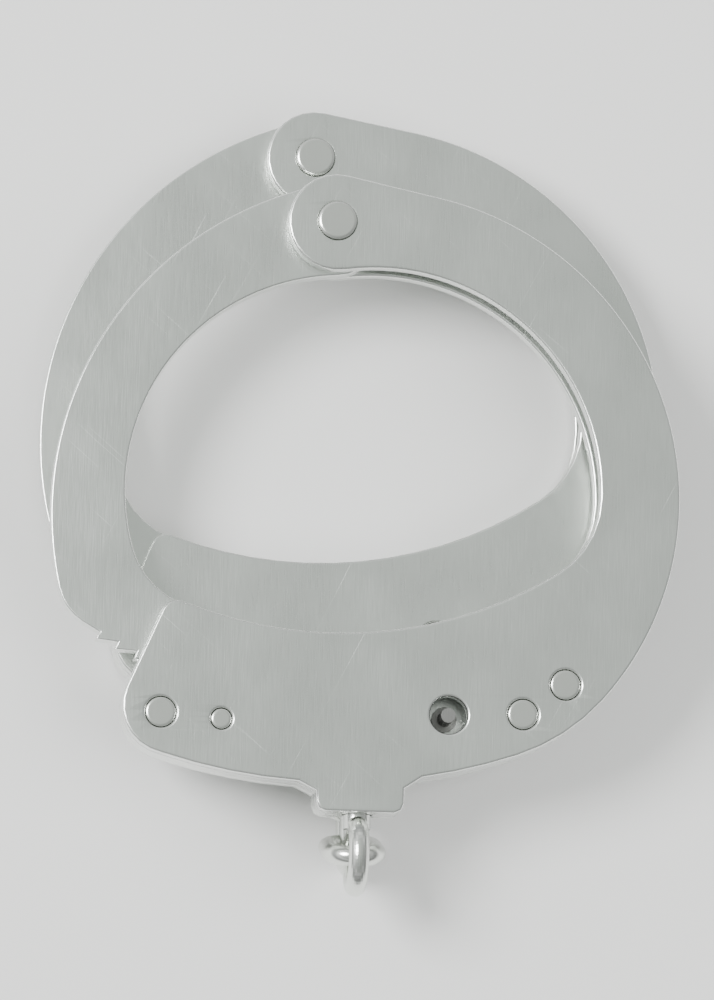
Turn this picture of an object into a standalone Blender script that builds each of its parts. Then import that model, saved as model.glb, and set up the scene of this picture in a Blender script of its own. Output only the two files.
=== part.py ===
"""A pair of chain handcuffs, folded so that one cuff lies on the other.

Every size below is in millimetres and is turned into metres when a mesh is made. A cuff is drawn in its own
frame: x right, y towards the arm pivot, z up through its layers, with the wrist opening round the origin.
Places in the lock are polar: a radius from the arm pivot, and an angle from straight down, positive to the right.
"""

import math

import bmesh
import bpy
from mathutils import Matrix, Vector

MM = 0.001
ARC_STEP = 7.0

# Layers of one cuff, from its underside up
PLATE = 2.4
LAYER_GAP = 0.3
ARM_THICKNESS = 3.2
MIDDLE = PLATE + LAYER_GAP
FRONT = MIDDLE + ARM_THICKNESS + LAYER_GAP
CUFF_THICKNESS = FRONT + PLATE
SPACER_GAP = 0.06
PLATE_EDGE, ARM_EDGE = 0.35, 0.3
HOLE_CLEARANCE = 0.06

# Cheek plates: the fixed double strand and the lock case
PIVOT = (-5.4, 40.3)
BOSS = (-5.4, 40.1, 7.3)
STRAND_INNER = (1.8, 0.46, 32.95)
STRAND_OUTER = (1.05, -0.32, 45.7)
CASE_INNER_R = 61.9
CASE_OUTER_R = 84.1
CASE_BLEND_R = 30.0
OPENING_BLEND_R = 14.0
MOUTH_ANGLE = -22.5
SWIVEL_BOSS_HALF = 6.5
SWIVEL_BOSS_Y = -48.0
SWIVEL_BOSS_RIGHT, SWIVEL_BOSS_LEFT = -80.1, -92.5

# Ratchet arm: the swinging single strand
ARM_EYE = (-5.4, 39.6, 7.07)
ARM_INNER = (-2.65, -0.35, 32.97)
ARM_OUTER = (5.05, -3.7, 51.6)
ARM_INNER_R = CASE_INNER_R - 0.1
TOOTH_TIP_R = 72.3
TOOTH_DEPTH = 1.2
TOOTH_PITCH = 2.5
TOOTH_FIRST = -28.0
TOOTH_COUNT = 18
ARM_TIP = TOOTH_FIRST + TOOTH_COUNT * TOOTH_PITCH

# Lock
CHANNEL_R = TOOTH_TIP_R + 0.5
RIM_WIDTH = 2.2
RIM_R = CASE_OUTER_R - RIM_WIDTH
LAND_LEFT, LAND_RIGHT, SPACER_END = -15.2, 18.3, 32.0
PAWL_PIN = (76.8, -11.5)
PAWL_TEETH_FROM, PAWL_TEETH = 2.0, 3
PAWL_BACK_R, PAWL_END = 77.0, 10.2
PAWL_CLEARANCE = 0.3
SPRING_THICKNESS = 0.5
BAR_R = (80.1, 81.55)
BAR_BLOCK = (10.9, 14.7, 78.3)
KEY_POST = (75.7, 13.9)
KEYHOLE_R, KEY_POST_R = 2.8, 1.1
RIVET_R, PIN_R = 2.2, 1.5
PIVOT_RIVET_R, PIVOT_SHANK_R = 2.9, 2.3
PIVOT_HEAD = 0.7
RIVETS = {"mouth": (78.4, -18.0), "inner": (78.6, 21.8), "end": (77.0, 27.4)}

# Swivels and chain
WIRE_R = 1.5
EYE_R = 4.5
EYE_Y = -54.0
SWIVEL_HEAD_R, SWIVEL_NECK_R = 3.0, 2.0
SWIVEL_LENGTH, SWIVEL_HEAD = 10.9, 1.6
POCKET_CLEARANCE = 0.3
LINK_BEND_R = 3.25
LINK_LENGTH = 11.36
CHAIN_Z = CUFF_THICKNESS / 2

# The object's origin: a spot on the lower cuff's underside, on the fixed strand
REST_SPOT = (40.7, 3.0)

# How the upper cuff lies on the lower one
STACK_Y, STACK_Z, STACK_TURN = -12.2, 11.0, -1.34

NICKEL = (0.72, 0.74, 0.71)
DARK_STEEL = (0.33, 0.34, 0.34)


def arc(circle, start, end, step=ARC_STEP):
    """Points along a circle (x, y, radius) from one angle to another, in degrees, both ends included."""
    count = max(1, math.ceil(abs(end - start) / step))
    turns = [math.radians(start + (end - start) * i / count) for i in range(count + 1)]
    return [(circle[0] + circle[2] * math.cos(t), circle[1] + circle[2] * math.sin(t)) for t in turns]


def about_pivot(radius):
    return (*PIVOT, radius)


def lock_point(radius, angle):
    """A place in the lock, from its radius about the arm pivot and its angle from straight down."""
    turn = math.radians(angle)
    return (PIVOT[0] + radius * math.sin(turn), PIVOT[1] - radius * math.cos(turn))


def lock_arc(radius, start, end, step=3.5):
    return arc(about_pivot(radius), start - 90, end - 90, step)


def heading(circle, point):
    return math.degrees(math.atan2(point[1] - circle[1], point[0] - circle[0]))


def blend(first, second, radius, right):
    """The circle of this radius that touches two circles from inside, on the right or left of their centres."""
    centre, reach = Vector(first[:2]), first[2] - radius
    other, other_reach = Vector(second[:2]), second[2] - radius
    apart = (other - centre).length
    along = (reach**2 - other_reach**2 + apart**2) / (2 * apart)
    aside = math.sqrt(reach**2 - along**2)
    ahead = (other - centre) / apart
    side = Vector((ahead.y, -ahead.x)) * aside
    options = [centre + ahead * along + side, centre + ahead * along - side]
    return (*(max if right else min)(options, key=lambda p: p.x), radius)


def touch(circle, inner):
    """The angle on a circle where a smaller circle touches it from inside."""
    return heading(circle, inner[:2])


def circle_outline(centre, radius, step=22.5):
    return arc((*centre, radius), 0, 360, step)[:-1]


def cheek_outline():
    """One cheek plate, counter-clockwise from the right of the pivot boss."""
    opening = blend(STRAND_INNER, about_pivot(CASE_INNER_R), OPENING_BLEND_R, right=True)
    corner = blend(STRAND_OUTER, about_pivot(CASE_OUTER_R), CASE_BLEND_R, right=True)
    inner_end = touch(STRAND_INNER, opening)
    floor_start = touch(about_pivot(CASE_INNER_R), opening)
    boss_side = math.degrees(math.acos(
        (STRAND_OUTER[2] - BOSS[2]) / math.dist(BOSS[:2], STRAND_OUTER[:2])))
    shoulder = heading(STRAND_OUTER, BOSS) - boss_side
    boss_foot = heading(BOSS, STRAND_INNER)
    points = arc(BOSS, shoulder, boss_foot + 360, 14)
    points += arc(STRAND_INNER, boss_foot + 180, inner_end)[1:]
    points += arc(opening, inner_end, floor_start, 12)[1:]
    points += arc(about_pivot(CASE_INNER_R), floor_start, MOUTH_ANGLE - 90 + 2.2, 4)[1:]
    points += mouth_outline()
    points += swivel_boss_outline()
    points += arc(about_pivot(CASE_OUTER_R), SWIVEL_BOSS_RIGHT, touch(about_pivot(CASE_OUTER_R), corner), 4)
    points += arc(corner, touch(about_pivot(CASE_OUTER_R), corner), touch(STRAND_OUTER, corner), 8)[1:]
    points += arc(STRAND_OUTER, touch(STRAND_OUTER, corner), shoulder)[1:]
    return points[:-1] if math.dist(points[0], points[-1]) < 0.01 else points


def mouth_outline():
    """The rounded lip and corner of the case where the arm goes in, from the opening to the outer edge."""
    lip, corner_r = 2.2, 7.0
    lip_centre = lock_point(CASE_INNER_R + lip, MOUTH_ANGLE + 2.1)
    corner_centre = lock_point(CASE_OUTER_R - corner_r, MOUTH_ANGLE + math.degrees(corner_r / 77))
    down = MOUTH_ANGLE - 90
    return (
        arc((*lip_centre, lip), down + 180, down - 90 + 360, 30)
        + arc((*corner_centre, corner_r), down - 90, down, 15)
    )


def swivel_boss_outline():
    """The stub round the swivel at the bottom of the case, between two stretches of the outer edge."""
    half, root, fillet = SWIVEL_BOSS_HALF, 2.5, 1.5
    left = arc(about_pivot(CASE_OUTER_R), MOUTH_ANGLE - 84, SWIVEL_BOSS_LEFT, 4)
    return (
        left
        + [(-half - root, -43.75), (-half, -45.0)]
        + arc((-half + fillet, SWIVEL_BOSS_Y + fillet, fillet), 180, 270, 45)
        + arc((half - fillet, SWIVEL_BOSS_Y + fillet, fillet), 270, 360, 45)
        + [(half, -44.3)]
    )


def arm_outline():
    """The arm, counter-clockwise: eye, inner edge, tip, teeth, shoulder, outer edge."""
    valley = TOOTH_TIP_R - TOOTH_DEPTH
    neck = blend(ARM_INNER, about_pivot(ARM_INNER_R), 12.0, right=False)
    shoulder = blend(ARM_OUTER, about_pivot(valley), 8.0, right=False)
    foot = heading(ARM_EYE, ARM_INNER)
    top = heading(ARM_OUTER, ARM_EYE)
    points = arc(ARM_EYE, top, foot, 14)
    inner = arc(ARM_INNER, foot + 180, touch(ARM_INNER, neck) % 360)[1:]
    inner += arc(neck, touch(ARM_INNER, neck) % 360, touch(about_pivot(valley), neck) % 360, 12)[1:]
    inner += lock_arc(ARM_INNER_R, heading(PIVOT, neck) + 90, ARM_TIP - 2.5)[1:]
    tip = (*lock_point(65.3, ARM_TIP - 2.6), 3.4)
    inner += arc(tip, ARM_TIP + 87, ARM_TIP - 3, 20)
    teeth = []
    for index in reversed(range(TOOTH_COUNT)):
        start = TOOTH_FIRST + index * TOOTH_PITCH
        teeth += [lock_point(valley, start + TOOTH_PITCH - 0.01), lock_point(TOOTH_TIP_R, start)]
    teeth.append(lock_point(valley, TOOTH_FIRST))
    outer = lock_arc(valley, TOOTH_FIRST - 0.6, heading(PIVOT, shoulder) + 90)
    outer += arc(shoulder, touch(about_pivot(valley), shoulder) % 360, touch(ARM_OUTER, shoulder) % 360, 12)[1:]
    outer += arc(ARM_OUTER, touch(ARM_OUTER, shoulder) % 360, top)[1:-1]
    return points[::-1][:-1] + outer[::-1] + teeth[::-1] + inner[::-1]


def spacer_outline():
    """The middle layer of the case: a rim along the outer edge with a land at each end for the rivets."""
    corner = blend(STRAND_OUTER, about_pivot(CASE_OUTER_R), CASE_BLEND_R, right=True)
    corner_start = touch(about_pivot(CASE_OUTER_R), corner)
    end_heading = heading(STRAND_OUTER, lock_point(82.0, SPACER_END))
    points = mouth_outline()[-7:]
    points += swivel_boss_outline()
    points += arc(about_pivot(CASE_OUTER_R), SWIVEL_BOSS_RIGHT, corner_start, 4)
    points += arc(corner, corner_start, touch(STRAND_OUTER, corner), 8)[1:]
    points += arc(STRAND_OUTER, touch(STRAND_OUTER, corner), end_heading, 5)[1:]
    points += lock_arc(CHANNEL_R, SPACER_END, LAND_RIGHT)
    points += lock_arc(RIM_R, LAND_RIGHT, LAND_LEFT)
    points += lock_arc(CHANNEL_R, LAND_LEFT, MOUTH_ANGLE)
    return points


def pawl_outline():
    """The pawl: an eye on its pin, and a straight bar with saw teeth that fit the arm's."""
    eye = (*lock_point(*PAWL_PIN), 3.0)
    slack = math.degrees(PAWL_CLEARANCE / TOOTH_TIP_R)
    valley, tip = TOOTH_TIP_R - TOOTH_DEPTH + PAWL_CLEARANCE, TOOTH_TIP_R + PAWL_CLEARANCE
    down = PAWL_PIN[1] - 90
    points = arc(eye, down + 180, down + 360, 22.5)
    points += lock_arc(PAWL_BACK_R, -3.0, PAWL_END)
    points += [lock_point(74.6, PAWL_END), lock_point(tip + 0.3, PAWL_END - 1.0)]
    for index in reversed(range(PAWL_TEETH)):
        start = PAWL_TEETH_FROM + index * TOOTH_PITCH
        points += [lock_point(tip, start + TOOTH_PITCH - slack), lock_point(valley, start + TOOTH_PITCH - slack)]
        points.append(lock_point(tip, start - slack + 0.03))
    points.append(lock_point(tip + 0.4, PAWL_TEETH_FROM - 2.0))
    return points


def spring_outline():
    """A flat leaf from the rim to the back of the pawl."""
    path = [(81.2, -14.6), (81.0, -9.0), (79.9, -3.0), (78.1, 3.5)]
    return [lock_point(*p) for p in path] + [lock_point(r - SPRING_THICKNESS, a) for r, a in reversed(path)]


def bar_outline():
    """The double-lock bar: a thin strip along the rim with a block that slides under the pawl's end."""
    inner, outer = BAR_R
    start, end, block_r = BAR_BLOCK
    return (
        lock_arc(outer, 4.6, 17.6)
        + lock_arc(inner, 17.6, end)
        + lock_arc(block_r, end, start)
        + lock_arc(inner, start, 4.6)
    )


def material(name, colour, roughness):
    made = bpy.data.materials.get(name) or bpy.data.materials.new(name)
    made.use_nodes = True
    shader = made.node_tree.nodes["Principled BSDF"]
    shader.inputs["Base Color"].default_value = (*colour, 1)
    shader.inputs["Metallic"].default_value = 1.0
    shader.inputs["Roughness"].default_value = roughness
    return made


def finish(obj, parent, place, look):
    """Gives an object its material, smooth shading, parent and place in the parent's frame."""
    obj.data.materials.append(look)
    for polygon in obj.data.polygons:
        polygon.use_smooth = True
    obj.data.set_sharp_from_angle(angle=math.radians(35))
    obj.parent = parent
    obj.location = Vector(place) * MM
    PARTS.objects.link(obj)
    return obj


def sheet(name, outline, bottom, thickness, parent, look, holes=(), origin=(0, 0), edge=0.0):
    """A flat piece cut to an outline with holes, its edges broken by a chamfer, with its origin where it turns."""
    curve = bpy.data.curves.new(name, "CURVE")
    curve.dimensions = "2D"
    curve.fill_mode = "BOTH"
    curve.extrude = (thickness / 2 - edge) * MM
    curve.bevel_depth = edge * MM
    curve.bevel_resolution = 0
    curve.offset = -edge * MM
    for ring in [outline, *holes]:
        spline = curve.splines.new("POLY")
        spline.points.add(len(ring) - 1)
        spline.use_cyclic_u = True
        for point, (x, y) in zip(spline.points, ring):
            point.co = ((x - origin[0]) * MM, (y - origin[1]) * MM, 0, 1)
    drawn = bpy.data.objects.new(name + "_outline", curve)
    mesh = bpy.data.meshes.new_from_object(drawn)
    bpy.data.objects.remove(drawn)
    shape = bmesh.new()
    shape.from_mesh(mesh)
    bmesh.ops.remove_doubles(shape, verts=shape.verts, dist=0.000002)
    bmesh.ops.recalc_face_normals(shape, faces=shape.faces)
    shape.to_mesh(mesh)
    shape.free()
    obj = bpy.data.objects.new(name, mesh)
    return finish(obj, parent, (*origin, bottom + thickness / 2), look)


def turned(name, profile, place, parent, look, sides=20, along_y=False):
    """A solid of revolution from (radius, height) pairs listed from the bottom up."""
    shape = bmesh.new()
    rings = []
    for radius, height in profile:
        spot = [
            Vector((radius * math.cos(math.tau * i / sides), radius * math.sin(math.tau * i / sides), height)) * MM
            for i in range(sides)
        ]
        rings.append([shape.verts.new(v) for v in spot])
    for low, high in zip(rings, rings[1:]):
        for i in range(sides):
            shape.faces.new((low[i], low[(i + 1) % sides], high[(i + 1) % sides], high[i]))
    shape.faces.new(reversed(rings[0]))
    shape.faces.new(rings[-1])
    if along_y:
        bmesh.ops.rotate(shape, verts=shape.verts, cent=(0, 0, 0), matrix=Matrix.Rotation(math.pi / 2, 3, "X"))
    mesh = bpy.data.meshes.new(name)
    shape.to_mesh(mesh)
    shape.free()
    return finish(bpy.data.objects.new(name, mesh), parent, place, look)


def wire_loop(name, path, radius, place, parent, look, sides=10):
    """A round wire along a closed flat path of (x, y, z) points."""
    shape = bmesh.new()
    normal = (Vector(path[1]) - Vector(path[0])).cross(Vector(path[2]) - Vector(path[1])).normalized()
    rings = []
    for index, point in enumerate(path):
        ahead = (Vector(path[(index + 1) % len(path)]) - Vector(path[index - 1])).normalized()
        out = ahead.cross(normal)
        rings.append([
            shape.verts.new((Vector(point) + radius * (
                math.cos(math.tau * i / sides) * out + math.sin(math.tau * i / sides) * normal)) * MM)
            for i in range(sides)
        ])
    for index, ring in enumerate(rings):
        after = rings[(index + 1) % len(rings)]
        for i in range(sides):
            shape.faces.new((ring[i], ring[(i + 1) % sides], after[(i + 1) % sides], after[i]))
    bmesh.ops.recalc_face_normals(shape, faces=shape.faces)
    mesh = bpy.data.meshes.new(name)
    shape.to_mesh(mesh)
    shape.free()
    return finish(bpy.data.objects.new(name, mesh), parent, place, look)


def boolean(obj, cutter, operation):
    """Joins or cuts with a helper object, which goes to the hidden collection."""
    cutter.data.materials.clear()
    PARTS.objects.unlink(cutter)
    CUTTERS.objects.link(cutter)
    cutter.hide_render = True
    cutter.display_type = "WIRE"
    modifier = obj.modifiers.new(operation.title(), "BOOLEAN")
    modifier.operation = operation
    modifier.solver = "EXACT"
    modifier.object = cutter


def swivel_pocket():
    """The hole that holds a swivel's head and neck, as a profile along the stem."""
    head, neck = SWIVEL_HEAD_R + POCKET_CLEARANCE, SWIVEL_NECK_R + POCKET_CLEARANCE
    floor = SWIVEL_LENGTH + POCKET_CLEARANCE
    shoulder = SWIVEL_LENGTH - SWIVEL_HEAD - POCKET_CLEARANCE
    mouth = EYE_R + 0.5
    return [(head, -floor), (head, -shoulder), (neck, -shoulder), (neck, -mouth)]


def swivel(cuff, frame, turn):
    """A headed stem held in the case, with a wire eye. The eye lies flat, or upright when turned."""
    shoulder = SWIVEL_LENGTH - SWIVEL_HEAD
    profile = [(SWIVEL_NECK_R, EYE_R - 0.6), (SWIVEL_NECK_R, shoulder), (SWIVEL_HEAD_R, shoulder),
               (SWIVEL_HEAD_R, SWIVEL_LENGTH)]
    stem = turned(cuff + "_swivel", [(r, -h) for r, h in reversed(profile)], (0, EYE_Y, CHAIN_Z), frame,
                  STEEL, 16, along_y=True)
    circle = arc((0, 0, EYE_R), 0, 360, 20)[:-1]
    path = [(0, y, x) if turn else (x, y, 0) for x, y in circle]
    eye = wire_loop(cuff + "_swivel_eye", path, WIRE_R, (0, EYE_Y, CHAIN_Z), frame, STEEL)
    boolean(stem, eye, "UNION")


def lock_works(cuff, frame):
    """Everything between the plates of the case."""
    pin = lock_point(*PAWL_PIN)
    layer, depth = MIDDLE + 0.1, ARM_THICKNESS - 0.2
    sheet(cuff + "_pawl", pawl_outline(), layer, depth, frame, DARK, [circle_outline(pin, PIN_R + HOLE_CLEARANCE)], pin)
    sheet(cuff + "_pawl_spring", spring_outline(), layer + 0.3, depth - 0.6, frame, DARK)
    sheet(cuff + "_double_lock_bar", bar_outline(), layer, depth, frame, DARK)
    base = PLATE + 0.05
    turned(cuff + "_key_post", [(1.9, base), (1.9, base + 0.6), (KEY_POST_R, base + 0.6), (KEY_POST_R, 8.0)],
           (*lock_point(*KEY_POST), 0), frame, DARK, 12)
    turned(cuff + "_pawl_pin", [(PIN_R, 0.05), (PIN_R, CUFF_THICKNESS - 0.05)], (*pin, 0), frame, STEEL, 16)


def cuff(name, frame, eye_upright):
    """One cuff, under an empty that places it."""
    pin = lock_point(*PAWL_PIN)
    rivets = [circle_outline(lock_point(*p), RIVET_R + HOLE_CLEARANCE) for p in RIVETS.values()]
    plate_holes = [circle_outline(PIVOT, PIVOT_SHANK_R + HOLE_CLEARANCE), *rivets, circle_outline(pin, PIN_R + HOLE_CLEARANCE)]
    keyhole = circle_outline(lock_point(*KEY_POST), KEYHOLE_R)
    rear = sheet(name + "_rear_cheek_plate", cheek_outline(), 0, PLATE, frame, STEEL, plate_holes, edge=PLATE_EDGE)
    front = sheet(name + "_front_cheek_plate", cheek_outline(), FRONT, PLATE, frame, STEEL,
                  [*plate_holes, keyhole], edge=PLATE_EDGE)
    spacer = sheet(name + "_lock_spacer", spacer_outline(), PLATE + SPACER_GAP,
                   FRONT - PLATE - 2 * SPACER_GAP, frame, STEEL, rivets)
    for index, layer in enumerate((rear, front, spacer)):
        cutter = turned(f"{name}_swivel_cutter_{index}", swivel_pocket(), (0, EYE_Y, CHAIN_Z), frame, STEEL, 16, True)
        boolean(layer, cutter, "DIFFERENCE")
    sheet(name + "_ratchet_arm", arm_outline(), MIDDLE, ARM_THICKNESS, frame, STEEL,
          [circle_outline(PIVOT, PIVOT_SHANK_R + HOLE_CLEARANCE)], PIVOT, edge=ARM_EDGE)
    head, shank = PIVOT_RIVET_R, PIVOT_SHANK_R
    top = CUFF_THICKNESS
    turned(name + "_arm_pivot_rivet",
           [(head - 0.4, -PIVOT_HEAD), (head, -0.3), (head, -0.05), (shank, -0.05), (shank, top + 0.05),
            (head, top + 0.05), (head, top + 0.3), (head - 0.4, top + PIVOT_HEAD)], (*PIVOT, 0), frame, STEEL)
    for label, spot in RIVETS.items():
        turned(f"{name}_lock_rivet_{label}", [(RIVET_R, 0.05), (RIVET_R, top - 0.05)], (*lock_point(*spot), 0),
               frame, STEEL, 16)
    lock_works(name, frame)
    swivel(name, frame, eye_upright)


def link(name, start, ahead, across, parent):
    """An oval link whose first end is bent round the start point's far side; both ends share one bend radius."""
    straight = LINK_LENGTH - 2 * LINK_BEND_R
    flat = [(x + straight, y) for x, y in arc((0, 0, LINK_BEND_R), -90, 90, 22.5)]
    flat += arc((0, 0, LINK_BEND_R), 90, 270, 22.5)
    path = [Vector(ahead) * x + Vector(across) * y for x, y in flat]
    return wire_loop(name, path, WIRE_R, start, parent, STEEL)


def chain(parent):
    """Two links: the first lies flat out from the lower eye, the second climbs from it to the upper eye."""
    first = Vector((0, EYE_Y - EYE_R, CHAIN_Z))
    meeting = first + Vector((0, -(LINK_LENGTH - 2 * LINK_BEND_R), 0))
    upper_eye = Vector((0, EYE_Y + STACK_Y, CHAIN_Z + STACK_Z))
    climb = (upper_eye - meeting).normalized()
    link("lower_chain_link", first, (0, -1, 0), (0, 0, 1), parent)
    link("upper_chain_link", meeting + climb * LINK_BEND_R, climb, (1, 0, 0), parent)


for old in list(bpy.data.objects):
    bpy.data.objects.remove(old)
PARTS = bpy.data.collections.new("handcuffs")
CUTTERS = bpy.data.collections.new("cutters")
bpy.context.scene.collection.children.link(PARTS)
bpy.context.scene.collection.children.link(CUTTERS)
CUTTERS.hide_render = True
STEEL = material("satin_nickel", NICKEL, 0.36)
DARK = material("lock_steel", DARK_STEEL, 0.45)

pair = bpy.data.objects.new("pair", None)
lower = bpy.data.objects.new("lower_cuff", None)
upper = bpy.data.objects.new("upper_cuff", None)
for empty in (pair, lower, upper):
    PARTS.objects.link(empty)
pair.location = (-REST_SPOT[0] * MM, -REST_SPOT[1] * MM, 0)
turn = Matrix.Rotation(math.radians(STACK_TURN), 4, "Z")
eye = Vector((0, EYE_Y, 0))
upper.matrix_basis = Matrix.Translation((eye + turn @ -eye + Vector((0, STACK_Y, STACK_Z))) * MM) @ turn
lower.parent = upper.parent = pair
cuff("lower", lower, eye_upright=False)
cuff("upper", upper, eye_upright=True)
chain(pair)
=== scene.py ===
"""The looks of a folded pair of chain handcuffs: satin nickel plate, round-edged, brushed and lightly worn.

The pawls, double-lock bars and key posts keep their CAD shape and get a dark steel. Every other CAD node is
replaced by a smoother piece of the same size, drawn from the same arcs. A cuff is drawn in its own frame, in
millimetres: x right, y towards the arm pivot, z up, the wrist opening round the origin. Places in the lock
are polar: a radius from the arm pivot, and an angle from straight down, positive to the right.
"""

import math

import bmesh
import bpy
from mathutils import Matrix, Vector


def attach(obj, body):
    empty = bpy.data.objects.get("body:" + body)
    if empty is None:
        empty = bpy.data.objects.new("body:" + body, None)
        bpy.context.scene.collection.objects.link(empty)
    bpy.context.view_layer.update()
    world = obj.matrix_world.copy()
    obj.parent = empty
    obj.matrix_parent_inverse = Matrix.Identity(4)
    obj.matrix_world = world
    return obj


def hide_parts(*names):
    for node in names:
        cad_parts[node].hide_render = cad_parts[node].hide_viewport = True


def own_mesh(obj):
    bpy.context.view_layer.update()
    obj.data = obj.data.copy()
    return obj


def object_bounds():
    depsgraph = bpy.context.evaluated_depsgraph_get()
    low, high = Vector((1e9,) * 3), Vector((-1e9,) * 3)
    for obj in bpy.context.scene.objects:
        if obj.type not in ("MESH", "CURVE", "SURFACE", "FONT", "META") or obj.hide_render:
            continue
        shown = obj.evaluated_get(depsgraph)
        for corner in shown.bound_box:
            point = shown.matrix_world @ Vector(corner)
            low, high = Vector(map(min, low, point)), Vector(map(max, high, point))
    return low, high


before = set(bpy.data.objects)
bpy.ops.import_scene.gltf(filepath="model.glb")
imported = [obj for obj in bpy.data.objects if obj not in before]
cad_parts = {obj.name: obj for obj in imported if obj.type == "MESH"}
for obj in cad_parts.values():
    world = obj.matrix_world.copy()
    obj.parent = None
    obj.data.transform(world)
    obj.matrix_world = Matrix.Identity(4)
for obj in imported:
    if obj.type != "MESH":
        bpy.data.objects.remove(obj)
cad_low, cad_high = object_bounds()

MM = 0.001

# Degrees between the points of an arc, coarser where the bend is tight
LOCK_STEP = 1.0
STRAND_STEP = 1.5
CASE_STEP = 4.0
SPACER_STEP = 5.0
HOLE_STEP = 6.0
CORNER_STEP = 8.0
BLEND_STEP = 12.0
EYE_STEP = 14.0
MOUTH_STEP = 15.0
TIP_STEP = 20.0
LIP_STEP = 30.0
FILLET_STEP = 45.0

# Sides of a round piece
RIVET_SIDES = 64
PIN_SIDES = 48
POCKET_SIDES = 40
WIRE_SIDES = 28

# Layers of one cuff, from its underside up
PLATE = 2.4
LAYER_GAP = 0.3
ARM_THICKNESS = 3.2
MIDDLE = PLATE + LAYER_GAP
FRONT = MIDDLE + ARM_THICKNESS + LAYER_GAP
CUFF_THICKNESS = FRONT + PLATE
HALFWAY_UP = CUFF_THICKNESS / 2
SPACER_GAP = 0.06
SPACER_THICKNESS = FRONT - PLATE - 2 * SPACER_GAP
PLATE_ROUND = 0.4
ARM_ROUND = 0.32
SPACER_ROUND = 0.12
SPRING_ROUND = 0.1
ROUND_CUTS = 3

# Cheek plates: the fixed double strand and the lock case
PIVOT = (-5.4, 40.3)
BOSS = (-5.4, 40.1, 7.3)
STRAND_INNER = (1.8, 0.46, 32.95)
STRAND_OUTER = (1.05, -0.32, 45.7)
CASE_INNER_R = 61.9
CASE_OUTER_R = 84.1
CASE_INNER = (*PIVOT, CASE_INNER_R)
CASE_OUTER = (*PIVOT, CASE_OUTER_R)
CASE_BLEND_R = 30.0
OPENING_BLEND_R = 14.0

# The mouth where the arm goes in: a lip at the opening, and a corner at the outer edge
MOUTH_ANGLE = -22.5
MOUTH_HEADING = MOUTH_ANGLE - 90
LIP_R = 2.2
LIP_ANGLE = 2.1
LIP_START = 2.2
MOUTH_CORNER_R = 7.0
MOUTH_CORNER_REACH = 77.0
MOUTH_CORNER_SPAN = 6.0

# The boss round the swivel, between two stretches of the case's outer edge
SWIVEL_BOSS_HALF = 6.5
SWIVEL_BOSS_Y = -48.0
SWIVEL_BOSS_LEFT = -92.5
SWIVEL_BOSS_RIGHT = -80.1
SWIVEL_BOSS_FILLET = 1.5
SWIVEL_BOSS_ROOT = 2.5
SWIVEL_BOSS_ROOT_Y = -43.75
SWIVEL_BOSS_LEFT_Y = -45.0
SWIVEL_BOSS_RIGHT_Y = -44.3

# Ratchet arm: the swinging single strand
ARM_EYE = (-5.4, 39.6, 7.07)
ARM_INNER = (-2.65, -0.35, 32.97)
ARM_OUTER = (5.05, -3.7, 51.6)
ARM_INNER_R = CASE_INNER_R - 0.1
ARM_NECK_R = 12.0
ARM_SHOULDER_R = 8.0
TOOTH_TIP_R = 72.3
TOOTH_DEPTH = 1.2
TOOTH_VALLEY_R = TOOTH_TIP_R - TOOTH_DEPTH
TOOTH_PITCH = 2.5
TOOTH_FACE = 0.01
TOOTH_FIRST = -28.0
TOOTH_COUNT = 18
TOOTH_RUN_IN = 0.6
ARM_TIP = TOOTH_FIRST + TOOTH_COUNT * TOOTH_PITCH
TIP_BEND_R = 3.4
TIP_BEND_FROM_PIVOT = 65.3
TIP_BEND_BACK = 2.6
TIP_INNER_BACK = 2.5
TIP_TURN = 3.0

# Lock
CHANNEL_R = TOOTH_TIP_R + 0.5
RIM_WIDTH = 2.2
RIM_R = CASE_OUTER_R - RIM_WIDTH
LAND_LEFT = -15.2
LAND_RIGHT = 18.3
SPACER_END = 32.0
SPACER_END_R = 82.0
PAWL_PIN = (76.8, -11.5)
KEY_POST = (75.7, 13.9)
KEYHOLE_R = 2.8

# Leaf spring behind the pawl, from its foot on the rim to its free end
SPRING_PATH = ((81.2, -14.6), (81.0, -9.0), (79.9, -3.0), (78.1, 3.5))
SPRING_THICKNESS = 0.5
SPRING_WIDTH = ARM_THICKNESS - 0.8

# Rivets and pins
RIVETS = {"mouth": (78.4, -18.0), "inner": (78.6, 21.8), "end": (77.0, 27.4)}
RIVET_R = 2.2
PIN_R = 1.5
RIVET_GAP = 0.09
RIVET_INSET = 0.03
RIVET_END_SLOPE = (0.5, 0.12)
RIVET_END_ROUND = 0.2
PIVOT_RIVET_R = 2.9
PIVOT_SHANK_R = 2.3
PIVOT_HEAD = 0.7
PIVOT_HEAD_GAP = 0.05
PIVOT_HEAD_RIM = 0.35
PIVOT_HEAD_SLOPE = 0.55
PIVOT_HEAD_ROUND = 0.12
PIVOT_HOLE_GAP = 0.45
ARM_HOLE_GAP = 0.06

# Swivels and chain
WIRE_R = 1.5
EYE_R = 4.5
EYE_Y = -54.0
WIRE_STEP = 6.0
SWIVEL_EYE_STEP = 5.0
SWIVEL_HEAD_R = 3.0
SWIVEL_NECK_R = 2.0
SWIVEL_LENGTH = 10.9
SWIVEL_HEAD = 1.6
SWIVEL_ROUND = 0.3
SWIVEL_HEAD_SLOPE = 0.6
STEM_SINK = 0.6
POCKET_CLEARANCE = 0.3
POCKET_OVERRUN = 1.0
POCKET_START = SWIVEL_BOSS_Y - EYE_Y - POCKET_OVERRUN
LINK_BEND_R = 3.25
LINK_LENGTH = 11.36
LINK_STRAIGHT = LINK_LENGTH - 2 * LINK_BEND_R

# The object's origin: a spot on the lower cuff's underside, on the fixed strand
REST_SPOT = (40.7, 3.0)

# How the upper cuff lies on the lower one
STACK_Y = -12.2
STACK_Z = 11.0
STACK_TURN = -1.34

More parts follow.
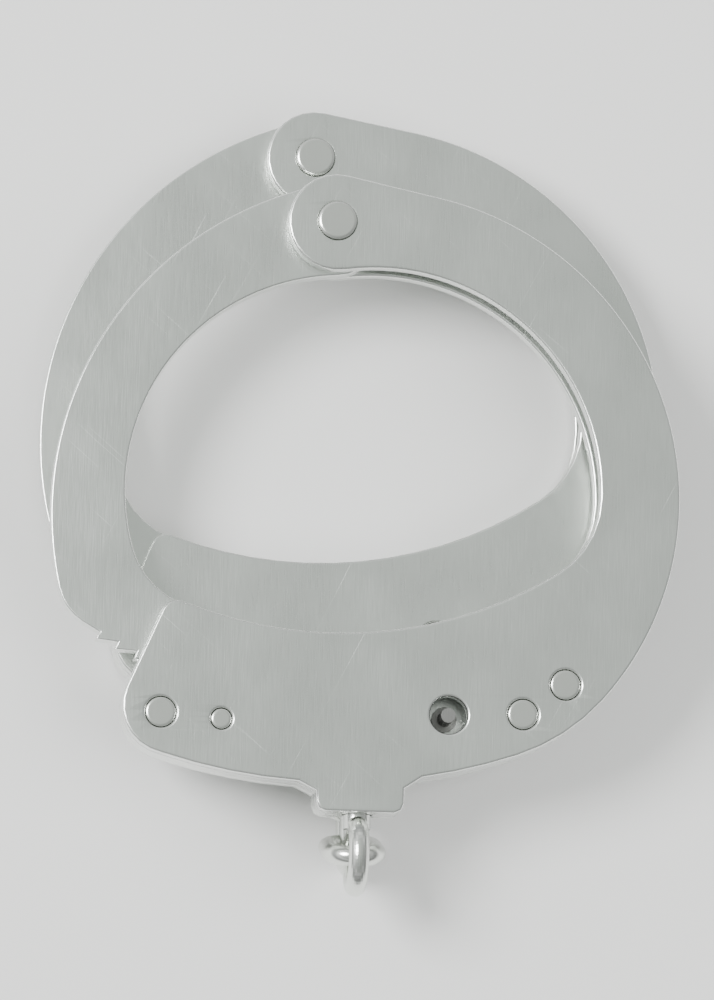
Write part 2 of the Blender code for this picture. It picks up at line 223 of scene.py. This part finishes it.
# Edges sharper than this many degrees stay sharp, and a face whose normal is this upright is flat
SHARP_ANGLE = 50
FLAT_FACE = 0.97

# Points this near are one: in millimetres on an outline, in metres on a mesh
SAME_POINT = 0.01
WELD = 0.000002

# A profile's corner is rounded over at most this share of the sides beside it, in this many cuts
CORNER_SHARE = 0.45
CORNER_CUTS = 4

# Wear of the plating. Each set of scratches has a scale, a turn and the noise value where it begins
NOISE_SPREAD = (0.3, 0.7)
BRUSH_SCALE = 5200
BRUSH_STRETCH = (1, 0.05, 1)
BRUSH_DETAIL = 3
BRUSH_ROUGHNESS = 0.03
CLOUD_SCALE = 70
CLOUD_DETAIL = 5
CLOUD_SMOOTHER = 0.03
CLOUD_ROUGHER = 0.04
TARNISH = 0.955
TARNISH_SPREAD = (0.35, 0.6)
SCRATCHES = ((2600, 0.7, 0.69), (2300, -1.1, 0.70))
SCRATCH_STRETCH = (0.02, 1, 1)
SCRATCH_DETAIL = 2
SCRATCH_FADE = 0.11
SCRATCH_DEPTH = -0.55
BUMP_DISTANCE = 0.00002

# Studio
FLOOR_SIZE = 6
FLOOR_GAP = 0.02
FLOOR_COLOUR = (0.80, 0.80, 0.79, 1)
FLOOR_ROUGHNESS = 0.9
SKY_HORIZON = (0.26, 0.27, 0.27, 1)
SKY_ZENITH = (0.67, 0.705, 0.675, 1)
SKY_BANDS = (
    (0.32, (0.45, 0.46, 0.46, 1)),
    (0.48, (1.0, 1.0, 1.0, 1)),
    (0.64, (0.50, 0.52, 0.51, 1)),
)
BRIGHT_SIDE = (-0.6, 0.8, 0)
SIDE_REACH = 0.7
SIDE_STRENGTH = (0.6, 1.35)
CAMERA_LEAN = (-0.11, -0.169)
CAMERA_DISTANCE = 0.85
CAMERA_LENS = 205


def arc(circle, start, end, step=STRAND_STEP):
    """Points along a circle (x, y, radius) from one angle to another, in degrees, both ends included."""
    x, y, radius = circle
    count = max(1, math.ceil(abs(end - start) / step))
    turns = [math.radians(start + (end - start) * i / count) for i in range(count + 1)]
    return [(x + radius * math.cos(t), y + radius * math.sin(t)) for t in turns]


def about_pivot(radius):
    return (*PIVOT, radius)


def lock_point(radius, angle):
    """A place in the lock, from its radius about the arm pivot and its angle from straight down."""
    turn = math.radians(angle)
    return (PIVOT[0] + radius * math.sin(turn), PIVOT[1] - radius * math.cos(turn))


def lock_arc(radius, start, end):
    return arc(about_pivot(radius), start - 90, end - 90, LOCK_STEP)


def heading(circle, point):
    """The angle on a circle towards a point, where a circle centred there would touch it from inside."""
    return math.degrees(math.atan2(point[1] - circle[1], point[0] - circle[0]))


def blend(first, second, radius, right):
    """The circle of this radius that touches two circles from inside, right or left of their centres."""
    centre, reach = Vector(first[:2]), first[2] - radius
    other, other_reach = Vector(second[:2]), second[2] - radius
    apart = (other - centre).length
    along = (reach**2 - other_reach**2 + apart**2) / (2 * apart)
    aside = math.sqrt(reach**2 - along**2)
    ahead = (other - centre) / apart
    side = Vector((ahead.y, -ahead.x)) * aside
    options = [centre + ahead * along + side, centre + ahead * along - side]
    return (*(max if right else min)(options, key=lambda p: p.x), radius)


def circle_outline(centre, radius):
    return arc((*centre, radius), 0, 360, HOLE_STEP)[:-1]


def cheek_outline():
    """One cheek plate, counter-clockwise from the right of the pivot boss."""
    opening = blend(STRAND_INNER, CASE_INNER, OPENING_BLEND_R, right=True)
    opening_side = heading(STRAND_INNER, opening)
    opening_floor = heading(CASE_INNER, opening)
    lean = (STRAND_OUTER[2] - BOSS[2]) / math.dist(BOSS[:2], STRAND_OUTER[:2])
    shoulder = heading(STRAND_OUTER, BOSS) - math.degrees(math.acos(lean))
    foot = heading(BOSS, STRAND_INNER)
    points = arc(BOSS, shoulder, foot + 360, EYE_STEP)
    points += arc(STRAND_INNER, foot + 180, opening_side)[1:]
    points += arc(opening, opening_side, opening_floor, BLEND_STEP)[1:]
    points += arc(CASE_INNER, opening_floor, MOUTH_HEADING + LIP_START, CASE_STEP)[1:]
    points += mouth_lip() + mouth_corner() + swivel_boss_outline()
    points += outer_edge(shoulder, STRAND_STEP)
    closes = math.dist(points[0], points[-1]) < SAME_POINT
    return points[:-1] if closes else points


def mouth_lip():
    """The rounded end of the opening's edge at the mouth."""
    centre = lock_point(CASE_INNER_R + LIP_R, MOUTH_ANGLE + LIP_ANGLE)
    return arc((*centre, LIP_R), MOUTH_HEADING + 180, MOUTH_HEADING + 270, LIP_STEP)


def mouth_corner():
    """The rounded corner between the mouth and the case's outer edge."""
    angle = MOUTH_ANGLE + math.degrees(MOUTH_CORNER_R / MOUTH_CORNER_REACH)
    centre = lock_point(CASE_OUTER_R - MOUTH_CORNER_R, angle)
    return arc((*centre, MOUTH_CORNER_R), MOUTH_HEADING - 90, MOUTH_HEADING, MOUTH_STEP)


def swivel_boss_outline():
    """The outer edge left of the swivel, and the boss round it."""
    half, fillet = SWIVEL_BOSS_HALF, SWIVEL_BOSS_FILLET
    low = SWIVEL_BOSS_Y + fillet
    points = arc(CASE_OUTER, MOUTH_HEADING + MOUTH_CORNER_SPAN, SWIVEL_BOSS_LEFT, CASE_STEP)
    points += [(-half - SWIVEL_BOSS_ROOT, SWIVEL_BOSS_ROOT_Y), (-half, SWIVEL_BOSS_LEFT_Y)]
    points += arc((-half + fillet, low, fillet), 180, 270, FILLET_STEP)
    points += arc((half - fillet, low, fillet), 270, 360, FILLET_STEP)
    points.append((half, SWIVEL_BOSS_RIGHT_Y))
    return points


def outer_edge(end, step):
    """The outer edge right of the swivel: round the case's corner and up the strand to an angle."""
    corner = blend(STRAND_OUTER, CASE_OUTER, CASE_BLEND_R, right=True)
    corner_start = heading(CASE_OUTER, corner)
    corner_end = heading(STRAND_OUTER, corner)
    points = arc(CASE_OUTER, SWIVEL_BOSS_RIGHT, corner_start, CASE_STEP)
    points += arc(corner, corner_start, corner_end, CORNER_STEP)[1:]
    points += arc(STRAND_OUTER, corner_end, end, step)[1:]
    return points


def spacer_outline():
    """The middle layer of the case: a rim along the outer edge with a land at each end for the rivets."""
    end = heading(STRAND_OUTER, lock_point(SPACER_END_R, SPACER_END))
    points = mouth_corner() + swivel_boss_outline() + outer_edge(end, SPACER_STEP)
    points += lock_arc(CHANNEL_R, SPACER_END, LAND_RIGHT)
    points += lock_arc(RIM_R, LAND_RIGHT, LAND_LEFT)
    points += lock_arc(CHANNEL_R, LAND_LEFT, MOUTH_ANGLE)
    return points


def arm_outline():
    """The arm, counter-clockwise: eye, outer edge, teeth, tip, inner edge."""
    foot = heading(ARM_EYE, ARM_INNER)
    top = heading(ARM_OUTER, ARM_EYE)
    eye = arc(ARM_EYE, foot, top, EYE_STEP)[:-1]
    return eye + arm_outer_edge(top) + arm_teeth() + arm_inner_edge(foot)


def arm_outer_edge(top):
    """From the eye down the outer arc, then round the shoulder to the run-in before the first tooth."""
    shoulder = blend(ARM_OUTER, about_pivot(TOOTH_VALLEY_R), ARM_SHOULDER_R, right=False)
    upper = heading(ARM_OUTER, shoulder) % 360
    lower = heading(PIVOT, shoulder)
    points = arc(ARM_OUTER, top, upper)[1:-1]
    points += arc(shoulder, upper, lower % 360, BLEND_STEP)[:-1]
    points += lock_arc(TOOTH_VALLEY_R, lower + 90, TOOTH_FIRST - TOOTH_RUN_IN)
    return points


def arm_teeth():
    """Ratchet teeth, each rising steeply and falling over the rest of its pitch."""
    points = [lock_point(TOOTH_VALLEY_R, TOOTH_FIRST)]
    for index in range(TOOTH_COUNT):
        start = TOOTH_FIRST + index * TOOTH_PITCH
        points.append(lock_point(TOOTH_TIP_R, start))
        points.append(lock_point(TOOTH_VALLEY_R, start + TOOTH_PITCH - TOOTH_FACE))
    return points


def arm_inner_edge(foot):
    """From the last tooth round the tip, along behind the teeth and up the inner arc to the eye."""
    neck = blend(ARM_INNER, about_pivot(ARM_INNER_R), ARM_NECK_R, right=False)
    upper = heading(ARM_INNER, neck) % 360
    lower = heading(PIVOT, neck)
    tip = (*lock_point(TIP_BEND_FROM_PIVOT, ARM_TIP - TIP_BEND_BACK), TIP_BEND_R)
    points = arc(tip, ARM_TIP - TIP_TURN, ARM_TIP - TIP_TURN + 90, TIP_STEP)
    points += lock_arc(ARM_INNER_R, ARM_TIP - TIP_INNER_BACK, lower + 90)[:-1]
    points += arc(neck, lower % 360, upper, BLEND_STEP)[:-1]
    points += arc(ARM_INNER, upper, foot + 180)[:-1]
    return points


def spring_outline():
    """A flat leaf from the rim to the back of the pawl, seen edge on."""
    outer = [lock_point(radius, angle) for radius, angle in SPRING_PATH]
    inner = [lock_point(radius - SPRING_THICKNESS, angle) for radius, angle in reversed(SPRING_PATH)]
    return outer + inner


def noise(tree, scale, stretch, detail, turn=0.0):
    """Noise over the object, turned about its vertical axis and then drawn out."""
    place = tree.nodes.new("ShaderNodeTexCoord")
    turned = tree.nodes.new("ShaderNodeVectorRotate")
    turned.rotation_type = "Z_AXIS"
    turned.inputs["Angle"].default_value = turn
    mapping = tree.nodes.new("ShaderNodeMapping")
    mapping.inputs["Scale"].default_value = stretch
    texture = tree.nodes.new("ShaderNodeTexNoise")
    texture.inputs["Scale"].default_value = scale
    texture.inputs["Detail"].default_value = detail
    tree.links.new(place.outputs["Object"], turned.inputs["Vector"])
    tree.links.new(turned.outputs["Vector"], mapping.inputs["Vector"])
    tree.links.new(mapping.outputs["Vector"], texture.inputs["Vector"])
    return texture.outputs["Fac"]


def ramp(tree, value, low, high, start, end):
    """A value that goes from start to end as another goes from low to high."""
    mapped = tree.nodes.new("ShaderNodeMapRange")
    mapped.inputs["From Min"].default_value = low
    mapped.inputs["From Max"].default_value = high
    mapped.inputs["To Min"].default_value = start
    mapped.inputs["To Max"].default_value = end
    tree.links.new(value, mapped.inputs["Value"])
    return mapped.outputs["Result"]


def combined(tree, first, second, operation):
    maths = tree.nodes.new("ShaderNodeMath")
    maths.operation = operation
    tree.links.new(first, maths.inputs[0])
    tree.links.new(second, maths.inputs[1])
    return maths.outputs["Value"]


def scratches(tree):
    """Fine scratches in two crossing directions."""
    sets = []
    for scale, turn, threshold in SCRATCHES:
        streaks = noise(tree, scale, SCRATCH_STRETCH, SCRATCH_DETAIL, turn)
        sets.append(ramp(tree, streaks, threshold, threshold + SCRATCH_FADE, 0, 1))
    return combined(tree, sets[0], sets[1], "MAXIMUM")


def tarnished(tree, clouds, colour):
    """The plating's colour, a little darker in cloudy patches."""
    tint = tree.nodes.new("ShaderNodeMix")
    tint.data_type = "RGBA"
    tint.inputs["A"].default_value = (*[c * TARNISH for c in colour], 1)
    tint.inputs["B"].default_value = (*colour, 1)
    tree.links.new(ramp(tree, clouds, *TARNISH_SPREAD, 0, 1), tint.inputs["Factor"])
    return tint.outputs["Result"]


def worn_roughness(tree, brushing, clouds, marks, roughness, wear):
    """Roughness that drifts with the clouds, rises along scratches and varies with the brushing."""
    cloudy = ramp(tree, clouds, *NOISE_SPREAD, roughness - CLOUD_SMOOTHER, roughness + CLOUD_ROUGHER)
    scratched = combined(tree, cloudy, ramp(tree, marks, 0, 1, 0, wear), "ADD")
    brushed = ramp(tree, brushing, *NOISE_SPREAD, -BRUSH_ROUGHNESS, BRUSH_ROUGHNESS)
    return combined(tree, scratched, brushed, "ADD")


def brushed_normal(tree, brushing, marks, strength):
    """The relief of the polishing grain, with the scratches cut into it."""
    bump = tree.nodes.new("ShaderNodeBump")
    bump.inputs["Strength"].default_value = strength
    bump.inputs["Distance"].default_value = BUMP_DISTANCE
    height = combined(tree, brushing, ramp(tree, marks, 0, 1, 0, SCRATCH_DEPTH), "ADD")
    tree.links.new(height, bump.inputs["Height"])
    return bump.outputs["Normal"]


def satin_nickel(name, colour, grain, wear, roughness):
    """Plated steel: long polishing grain, cloudy roughness, fine crossing scratches and slight tarnish."""
    made = bpy.data.materials.new(name)
    made.use_nodes = True
    tree = made.node_tree
    shader = tree.nodes["Principled BSDF"]
    shader.inputs["Metallic"].default_value = 1.0
    brushing = noise(tree, BRUSH_SCALE, BRUSH_STRETCH, BRUSH_DETAIL)
    clouds = noise(tree, CLOUD_SCALE, (1, 1, 1), CLOUD_DETAIL)
    marks = scratches(tree)
    surface = worn_roughness(tree, brushing, clouds, marks, roughness, wear)
    tree.links.new(tarnished(tree, clouds, colour), shader.inputs["Base Color"])
    tree.links.new(surface, shader.inputs["Roughness"])
    tree.links.new(brushed_normal(tree, brushing, marks, grain), shader.inputs["Normal"])
    return made


def settle(mesh, node, body, look, place, within):
    """Turns a mesh in a cuff's frame into a piece that stands for its CAD node and rides on its body."""
    obj = bpy.data.objects.new(node + "_look", mesh)
    bpy.context.scene.collection.objects.link(obj)
    mesh.materials.append(look)
    for polygon in mesh.polygons:
        polygon.use_smooth = True
    mesh.set_sharp_from_angle(angle=math.radians(SHARP_ANGLE))
    obj.matrix_world = within @ Matrix.Translation(Vector(place) * MM)
    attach(obj, body)
    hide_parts(node)
    return obj


def polish_and_highlight_edges(obj):
    """Gives everything but the flat faces of a sheet a lighter nickel: partly the polish that tumbling
    leaves on edges, partly a painted highlight for the bright edge lines.
    """
    obj.data.materials.append(EDGE_POLISH_AND_HIGHLIGHT)
    for polygon in obj.data.polygons:
        if abs(polygon.normal.z) < FLAT_FACE:
            polygon.material_index = 1


def soft_normals(obj):
    """Keeps the flat faces flat beside the rounded edges."""
    weighted = obj.modifiers.new("Weighted", "WEIGHTED_NORMAL")
    weighted.keep_sharp = True


def sheet_mesh(name, outline, thickness, edge, holes=(), origin=(0, 0)):
    """A flat piece cut to an outline with holes, its edges rounded, centred on its own thickness."""
    curve = bpy.data.curves.new(name, "CURVE")
    curve.dimensions = "2D"
    curve.fill_mode = "BOTH"
    curve.extrude = (thickness / 2 - edge) * MM
    curve.bevel_depth = edge * MM
    curve.bevel_resolution = ROUND_CUTS
    curve.offset = -edge * MM
    for ring in [outline, *holes]:
        spline = curve.splines.new("POLY")
        spline.points.add(len(ring) - 1)
        spline.use_cyclic_u = True
        for point, (x, y) in zip(spline.points, ring):
            point.co = ((x - origin[0]) * MM, (y - origin[1]) * MM, 0, 1)
    drawn = bpy.data.objects.new(name + "_outline", curve)
    mesh = bpy.data.meshes.new_from_object(drawn)
    bpy.data.objects.remove(drawn)
    shape = bmesh.new()
    shape.from_mesh(mesh)
    bmesh.ops.remove_doubles(shape, verts=shape.verts, dist=WELD)
    bmesh.ops.recalc_face_normals(shape, faces=shape.faces)
    shape.to_mesh(mesh)
    shape.free()
    return mesh


def rounded(profile, radius):
    """A profile of (radius, height) pairs with its corners rounded, all but its two ends."""
    out = [profile[0]]
    for before, corner, after in zip(profile, profile[1:], profile[2:]):
        at = Vector(corner)
        back, on = Vector(before) - at, Vector(after) - at
        reach = min(radius, back.length * CORNER_SHARE, on.length * CORNER_SHARE)
        start, end = at + back.normalized() * reach, at + on.normalized() * reach
        for cut in range(CORNER_CUTS + 1):
            share = cut / CORNER_CUTS
            out.append(tuple(start.lerp(at, share).lerp(at.lerp(end, share), share)))
    return [*out, profile[-1]]


def ring_points(radius, height, sides):
    """Points round a level circle about the vertical axis."""
    turns = [math.tau * i / sides for i in range(sides)]
    return [Vector((radius * math.cos(t), radius * math.sin(t), height)) * MM for t in turns]


def join_rings(shape, low, high):
    """A band of faces between two rings of equally many points."""
    sides = len(low)
    for i in range(sides):
        after = (i + 1) % sides
        shape.faces.new((low[i], low[after], high[after], high[i]))


def turned_mesh(name, profile, sides, along_y=False):
    """A solid of revolution from (radius, height) pairs listed from the bottom up."""
    shape = bmesh.new()
    rings = []
    for radius, height in profile:
        rings.append([shape.verts.new(point) for point in ring_points(radius, height, sides)])
    for low, high in zip(rings, rings[1:]):
        join_rings(shape, low, high)
    shape.faces.new(reversed(rings[0]))
    shape.faces.new(rings[-1])
    if along_y:
        lay_down = Matrix.Rotation(math.pi / 2, 3, "X")
        bmesh.ops.rotate(shape, verts=shape.verts, cent=(0, 0, 0), matrix=lay_down)
    mesh = bpy.data.meshes.new(name)
    shape.to_mesh(mesh)
    shape.free()
    return mesh


def wire_mesh(name, path):
    """A round wire along a closed flat path of (x, y, z) points."""
    shape = bmesh.new()
    spots = [Vector(point) for point in path]
    normal = (spots[1] - spots[0]).cross(spots[2] - spots[1]).normalized()
    turns = [math.tau * i / WIRE_SIDES for i in range(WIRE_SIDES)]
    rings = []
    for index, spot in enumerate(spots):
        ahead = (spots[(index + 1) % len(spots)] - spots[index - 1]).normalized()
        out = ahead.cross(normal)
        around = [spot + WIRE_R * (math.cos(t) * out + math.sin(t) * normal) for t in turns]
        rings.append([shape.verts.new(point * MM) for point in around])
    for index, ring in enumerate(rings):
        join_rings(shape, ring, rings[(index + 1) % len(rings)])
    bmesh.ops.recalc_face_normals(shape, faces=shape.faces)
    mesh = bpy.data.meshes.new(name)
    shape.to_mesh(mesh)
    shape.free()
    return mesh


def helper(name, mesh, matrix):
    """A hidden object for a Boolean."""
    obj = bpy.data.objects.new(name, mesh)
    bpy.context.scene.collection.objects.link(obj)
    obj.matrix_world = matrix
    obj.hide_render = True
    obj.hide_viewport = True
    return obj


def boolean(obj, other, operation):
    """Joins or cuts a mesh with a helper for good, so that the piece can be posed by itself."""
    modifier = obj.modifiers.new(operation.title(), "BOOLEAN")
    modifier.operation = operation
    modifier.solver = "EXACT"
    modifier.object = other
    bpy.context.view_layer.update()
    graph = bpy.context.evaluated_depsgraph_get()
    mesh = bpy.data.meshes.new_from_object(obj.evaluated_get(graph))
    obj.modifiers.clear()
    obj.data = mesh
    bpy.data.objects.remove(other)


def eye_place(within):
    """The centre of a cuff's swivel eye."""
    return within @ Matrix.Translation(Vector((0, EYE_Y, HALFWAY_UP)) * MM)


def swivel_pocket(within):
    """The room for a swivel's stem and head, which opens at the boss."""
    head, neck = SWIVEL_HEAD_R + POCKET_CLEARANCE, SWIVEL_NECK_R + POCKET_CLEARANCE
    far = SWIVEL_LENGTH + POCKET_CLEARANCE
    near = SWIVEL_LENGTH - SWIVEL_HEAD - POCKET_CLEARANCE
    profile = [(head, -far), (head, -near), (neck, -near), (neck, -POCKET_START)]
    return helper("pocket", turned_mesh("pocket", profile, POCKET_SIDES, along_y=True), eye_place(within))


def case_layer(cuff_name, node, sheet, middle, within):
    """A cheek plate or a spacer, with the room for its swivel cut out of it."""
    obj = settle(sheet, f"{cuff_name}_{node}", cuff_name + "_frame", NICKEL, (0, 0, middle), within)
    boolean(obj, swivel_pocket(within), "DIFFERENCE")
    polish_and_highlight_edges(obj)
    soft_normals(obj)


def case(name, within):
    """Two cheek plates, the front one with the keyhole, and the spacer between them."""
    rivets = [circle_outline(lock_point(*spot), RIVET_R + RIVET_GAP) for spot in RIVETS.values()]
    pivot = circle_outline(PIVOT, PIVOT_SHANK_R + PIVOT_HOLE_GAP)
    pin = circle_outline(lock_point(*PAWL_PIN), PIN_R + RIVET_GAP)
    keyhole = circle_outline(lock_point(*KEY_POST), KEYHOLE_R)
    holes = [pivot, *rivets, pin]
    rear = sheet_mesh("rear", cheek_outline(), PLATE, PLATE_ROUND, holes)
    case_layer(name, "rear_cheek_plate", rear, PLATE / 2, within)
    front = sheet_mesh("front", cheek_outline(), PLATE, PLATE_ROUND, [*holes, keyhole])
    case_layer(name, "front_cheek_plate", front, FRONT + PLATE / 2, within)
    spacer = sheet_mesh("spacer", spacer_outline(), SPACER_THICKNESS, SPACER_ROUND, rivets)
    case_layer(name, "lock_spacer", spacer, HALFWAY_UP, within)


def ratchet_arm(name, within):
    hole = circle_outline(PIVOT, PIVOT_SHANK_R + ARM_HOLE_GAP)
    sheet = sheet_mesh("arm", arm_outline(), ARM_THICKNESS, ARM_ROUND, [hole], PIVOT)
    place = (*PIVOT, MIDDLE + ARM_THICKNESS / 2)
    arm = settle(sheet, name + "_ratchet_arm", name + "_arm", NICKEL, place, within)
    polish_and_highlight_edges(arm)
    soft_normals(arm)


def pivot_rivet_profile():
    """The arm pivot's rivet from the underside up, with flat, bevel-edged heads."""
    top = CUFF_THICKNESS
    half = [
        (PIVOT_SHANK_R, top + PIVOT_HEAD_GAP),
        (PIVOT_RIVET_R, top + PIVOT_HEAD_GAP),
        (PIVOT_RIVET_R, top + PIVOT_HEAD_RIM),
        (PIVOT_RIVET_R - PIVOT_HEAD_SLOPE, top + PIVOT_HEAD),
    ]
    below = [(radius, top - height) for radius, height in reversed(half)]
    return rounded([*below, *half], PIVOT_HEAD_ROUND)


def flush_rivet_profile(radius):
    """A rivet or pin from the underside up, with softened ends just inside the plates' faces."""
    inwards, upwards = RIVET_END_SLOPE
    low, high = RIVET_INSET, CUFF_THICKNESS - RIVET_INSET
    profile = [
        (radius - inwards, low),
        (radius, low + upwards),
        (radius, high - upwards),
        (radius - inwards, high),
    ]
    return rounded(profile, RIVET_END_ROUND)


def rivets_and_pin(name, within):
    body = name + "_frame"
    pivot = turned_mesh("pivot", pivot_rivet_profile(), RIVET_SIDES)
    soft_normals(settle(pivot, name + "_arm_pivot_rivet", body, BRIGHT, (*PIVOT, 0), within))
    flush = {f"lock_rivet_{label}": (spot, RIVET_R) for label, spot in RIVETS.items()}
    flush["pawl_pin"] = (PAWL_PIN, PIN_R)
    for label, (spot, radius) in flush.items():
        turned = turned_mesh(label, flush_rivet_profile(radius), PIN_SIDES)
        place = (*lock_point(*spot), 0)
        soft_normals(settle(turned, f"{name}_{label}", body, BRIGHT, place, within))


def swivel(name, eye_upright, within):
    """A stem with a head inside the case and a wire eye outside it."""
    neck_end = SWIVEL_LENGTH - SWIVEL_HEAD
    stem = rounded([
        (SWIVEL_NECK_R, EYE_R - STEM_SINK),
        (SWIVEL_NECK_R, neck_end),
        (SWIVEL_HEAD_R, neck_end),
        (SWIVEL_HEAD_R, SWIVEL_LENGTH),
        (SWIVEL_HEAD_R - SWIVEL_HEAD_SLOPE, SWIVEL_LENGTH),
    ], SWIVEL_ROUND)
    profile = [(radius, -height) for radius, height in reversed(stem)]
    turned = turned_mesh("stem", profile, PIN_SIDES, along_y=True)
    node = name + "_swivel"
    obj = settle(turned, node, node, BRIGHT, (0, EYE_Y, HALFWAY_UP), within)
    circle = arc((0, 0, EYE_R), 0, 360, SWIVEL_EYE_STEP)[:-1]
    path = [(0, y, x) if eye_upright else (x, y, 0) for x, y in circle]
    boolean(obj, helper("eye", wire_mesh("eye", path), eye_place(within)), "UNION")


def pawl_spring(name, within):
    """The leaf behind the pawl, which on the real cuff flattens towards the rim as the pawl lifts; here it
    is drawn at rest, with a mesh of its own.
    """
    sheet = sheet_mesh("leaf", spring_outline(), SPRING_WIDTH, SPRING_ROUND)
    leaf = settle(sheet, name + "_pawl_spring", name + "_frame", LOCK_STEEL, (0, 0, HALFWAY_UP), within)
    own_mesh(leaf)


def cuff(name, within, eye_upright):
    """The pieces of one cuff that are drawn anew."""
    case(name, within)
    ratchet_arm(name, within)
    rivets_and_pin(name, within)
    swivel(name, eye_upright, within)
    pawl_spring(name, within)


def link(name, body, start, ahead, across, within):
    """An oval link in the plane of ahead and across, its first bend centred on the start point."""
    flat = [(x + LINK_STRAIGHT, y) for x, y in arc((0, 0, LINK_BEND_R), -90, 90, WIRE_STEP)]
    flat += arc((0, 0, LINK_BEND_R), 90, 270, WIRE_STEP)
    path = [Vector(ahead) * x + Vector(across) * y for x, y in flat]
    settle(wire_mesh(name, path), name, body, BRIGHT, start, within)


def chain(within):
    """Two links: the first runs level from the lower eye, the second climbs from it to the upper eye."""
    first = Vector((0, EYE_Y - EYE_R, HALFWAY_UP))
    meeting = first + Vector((0, -LINK_STRAIGHT, 0))
    upper_eye = Vector((0, EYE_Y + STACK_Y, HALFWAY_UP + STACK_Z))
    climb = (upper_eye - meeting).normalized()
    link("lower_chain_link", "lower_link", first, (0, -1, 0), (0, 0, 1), within)
    link("upper_chain_link", "upper_link", meeting + climb * LINK_BEND_R, climb, (1, 0, 0), within)


def floor():
    """A wide pale floor just under the rivet heads."""
    under = -(PIVOT_HEAD + FLOOR_GAP) * MM
    bpy.ops.mesh.primitive_plane_add(size=FLOOR_SIZE, location=(0, 0, under))
    plane = bpy.context.object
    plane.name = "floor"
    paper = bpy.data.materials.new("pale_floor")
    paper.use_nodes = True
    shader = paper.node_tree.nodes["Principled BSDF"]
    shader.inputs["Base Color"].default_value = FLOOR_COLOUR
    shader.inputs["Roughness"].default_value = FLOOR_ROUGHNESS
    plane.data.materials.append(paper)


def sky():
    """A studio surround: soft grey overhead, a white band lower down, and a dimmer near right side."""
    world = bpy.data.worlds.new("studio")
    bpy.context.scene.world = world
    world.use_nodes = True
    nodes, links = world.node_tree.nodes, world.node_tree.links
    place = nodes.new("ShaderNodeTexCoord")
    split = nodes.new("ShaderNodeSeparateXYZ")
    links.new(place.outputs["Generated"], split.inputs["Vector"])
    fade = nodes.new("ShaderNodeValToRGB")
    stops = fade.color_ramp.elements
    stops[0].position, stops[0].color = 0.0, SKY_HORIZON
    stops[1].position, stops[1].color = 1.0, SKY_ZENITH
    for height, colour in SKY_BANDS:
        stops.new(height).color = colour
    links.new(split.outputs["Z"], fade.inputs["Fac"])
    toward = nodes.new("ShaderNodeVectorMath")
    toward.operation = "DOT_PRODUCT"
    toward.inputs[1].default_value = BRIGHT_SIDE
    links.new(place.outputs["Generated"], toward.inputs[0])
    strength = ramp(world.node_tree, toward.outputs["Value"], -SIDE_REACH, SIDE_REACH, *SIDE_STRENGTH)
    background = nodes["Background"]
    links.new(fade.outputs["Color"], background.inputs["Color"])
    links.new(strength, background.inputs["Strength"])


def lamp(name, place, aim, size, power, reflected):
    """A round area light aimed at a point. The metal mirrors it only where reflected is true."""
    light = bpy.data.lights.new(name, "AREA")
    light.shape = "DISK"
    light.size = size
    light.energy = power
    obj = bpy.data.objects.new(name, light)
    obj.location = place
    obj.rotation_euler = (Vector(aim) - Vector(place)).to_track_quat("-Z", "Y").to_euler()
    obj.visible_glossy = reflected
    bpy.context.scene.collection.objects.link(obj)


def camera(aim):
    """A camera nearly overhead, leaning a little to the lower left, with the pivots at the top."""
    made = bpy.data.cameras.new("camera")
    made.lens = CAMERA_LENS
    obj = bpy.data.objects.new("camera", made)
    back = Vector((*CAMERA_LEAN, 1)).normalized()
    right = Vector((0, 1, 0)).cross(back).normalized()
    turn = Matrix((right, back.cross(right), back)).transposed().to_4x4()
    obj.matrix_world = Matrix.Translation(Vector(aim) + back * CAMERA_DISTANCE) @ turn
    bpy.context.scene.collection.objects.link(obj)
    bpy.context.scene.camera = obj


def upper_cuff_place():
    """Where the upper cuff lies in the lower one's frame, turned a little about its own eye."""
    turn = Matrix.Rotation(math.radians(STACK_TURN), 4, "Z")
    eye = Vector((0, EYE_Y, 0))
    shift = eye + turn @ -eye + Vector((0, STACK_Y, STACK_Z))
    return Matrix.Translation(shift * MM) @ turn


NICKEL = satin_nickel("satin_nickel_look", (0.78, 0.81, 0.775), grain=0.75, wear=0.12, roughness=0.30)
# Lighter nickel for edges and walls: partly edge polish, partly a painted highlight that brightens the edge
# lines
EDGE_POLISH_AND_HIGHLIGHT = satin_nickel("edge_polish_and_painted_highlight_look", (0.90, 0.92, 0.89), grain=0.15, wear=0.08, roughness=0.2)
BRIGHT = satin_nickel("rivet_nickel_look", (0.82, 0.84, 0.80), grain=0.22, wear=0.08, roughness=0.22)
LOCK_STEEL = satin_nickel("lock_steel_look", (0.34, 0.34, 0.33), grain=0.5, wear=0.15, roughness=0.42)

pair = Matrix.Translation((-REST_SPOT[0] * MM, -REST_SPOT[1] * MM, 0))
cuff("lower", pair, eye_upright=False)
cuff("upper", pair @ upper_cuff_place(), eye_upright=True)
chain(pair)
for node in ("pawl", "double_lock_bar", "key_post"):
    for side in ("lower", "upper"):
        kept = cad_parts[f"{side}_{node}"]
        kept.data.materials.clear()
        kept.data.materials.append(LOCK_STEEL)

middle = (cad_low + cad_high) / 2
floor()
sky()
lamp("key", (-0.62, 0.14, 0.72), middle, size=0.4, power=11, reflected=True)
lamp("fill", (0.5, -0.2, 0.7), middle, size=0.8, power=7, reflected=False)
camera(middle)
